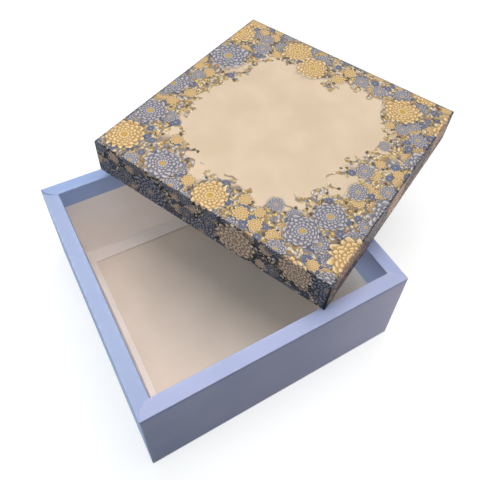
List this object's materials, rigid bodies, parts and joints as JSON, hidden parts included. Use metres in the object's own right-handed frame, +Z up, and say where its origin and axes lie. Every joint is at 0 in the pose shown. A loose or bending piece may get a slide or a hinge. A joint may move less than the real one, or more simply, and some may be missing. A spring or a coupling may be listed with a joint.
{
  "type": "gift hamper box",
  "caption": "Square rigid gift box: a shallow hollow-wall tray with a flat paper-wrapped rim, and its loose printed telescoping lid lying turned on the rim.",
  "frame": {"origin": "centre of the tray's underside", "axes": "+Z up, the tray's front towards -Y and its left towards -X"},
  "size_m": [0.4033, 0.3539, 0.1547],
  "materials": {
    "blue_paper": "smooth uncoated paper, light periwinkle blue",
    "printed_paper": "satin printed paper, beige ground",
    "white_paper": "matt white paper",
    "white_board": "matt off-white lined board",
    "greyboard": "raw greyboard",
    "kraft_tape": "gummed kraft paper tape"
  },
  "bodies": {
    "tray": {"floor_board": "white_board", "underside_sheet": "white_paper", "tray_corner_stays": "kraft_tape", "outer_wall_front": "greyboard", "outer_wall_back": "greyboard", "outer_wall_left": "greyboard", "outer_wall_right": "greyboard", "rim_board_front": "greyboard", "rim_board_back": "greyboard", "rim_board_left": "greyboard", "rim_board_right": "greyboard", "inner_wall_front": "white_board", "inner_wall_back": "white_board", "inner_wall_left": "white_board", "inner_wall_right": "white_board", "tray_wrap_front": "blue_paper", "tray_wrap_back": "blue_paper", "tray_wrap_left": "blue_paper", "tray_wrap_right": "blue_paper"},
    "lid": {"lid_top_board": "greyboard", "lid_wrap": "printed_paper", "lid_liner": "white_paper", "lid_corner_stays": "kraft_tape", "lid_wall_front": "greyboard", "lid_wall_back": "greyboard", "lid_wall_left": "greyboard", "lid_wall_right": "greyboard"}
  },
  "joints": [
    {"name": "lid_lift", "type": "slide", "parent": "tray", "child": "lid", "axis": [0, 0, 1], "range_m": [0, 0.15]}
  ]
}
